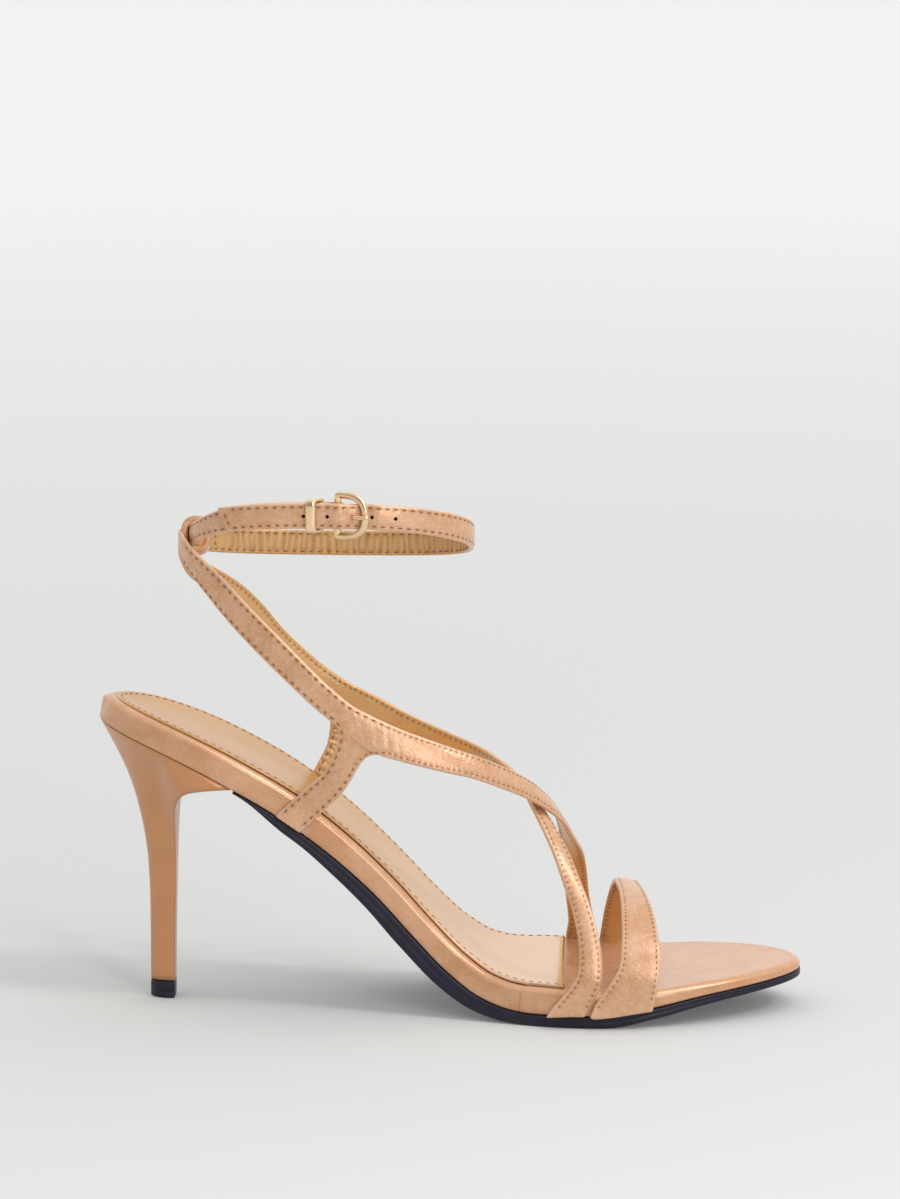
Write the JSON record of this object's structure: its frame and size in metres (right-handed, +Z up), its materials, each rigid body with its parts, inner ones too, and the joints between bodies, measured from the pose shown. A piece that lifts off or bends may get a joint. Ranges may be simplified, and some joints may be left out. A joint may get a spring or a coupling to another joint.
{
  "type": "strappy heeled sandal",
  "caption": "Right high-heeled sandal: crossed sling straps, a toe band, a buckled ankle strap, a covered board on a slim heel and a thin dark outsole.",
  "frame": {"origin": "middle of the heel tip's foot, on the plane that the shoe stands on", "axes": "+X from the heel to the toe, +Y to the inner side of the foot, +Z up"},
  "size_m": [0.2209, 0.0828, 0.1658],
  "materials": {
    "outsole_rubber": "matt moulded rubber, near black with a blue tinge",
    "board_cover": "satin metallic copper-tan leather wrap",
    "sock_cover": "satin champagne-gold sock leather",
    "heel_cover": "satin metallic copper-tan wrap",
    "tip_rubber": "matt hard rubber",
    "strap_leather": "satin metallic copper-tan leather, folded and edge stitched",
    "pale_gold": "polished pale-gold plating"
  },
  "bodies": {
    "root": {"outsole": "outsole_rubber", "covered_board": "board_cover", "sock_lining": "sock_cover", "heel": "heel_cover", "heel_tip": "tip_rubber", "sling_straps": "strap_leather", "toe_band": "strap_leather", "ankle_strap": "strap_leather", "strap_keeper": "pale_gold", "buckle_frame": "pale_gold", "buckle_prong": "pale_gold"}
  },
  "joints": []
}
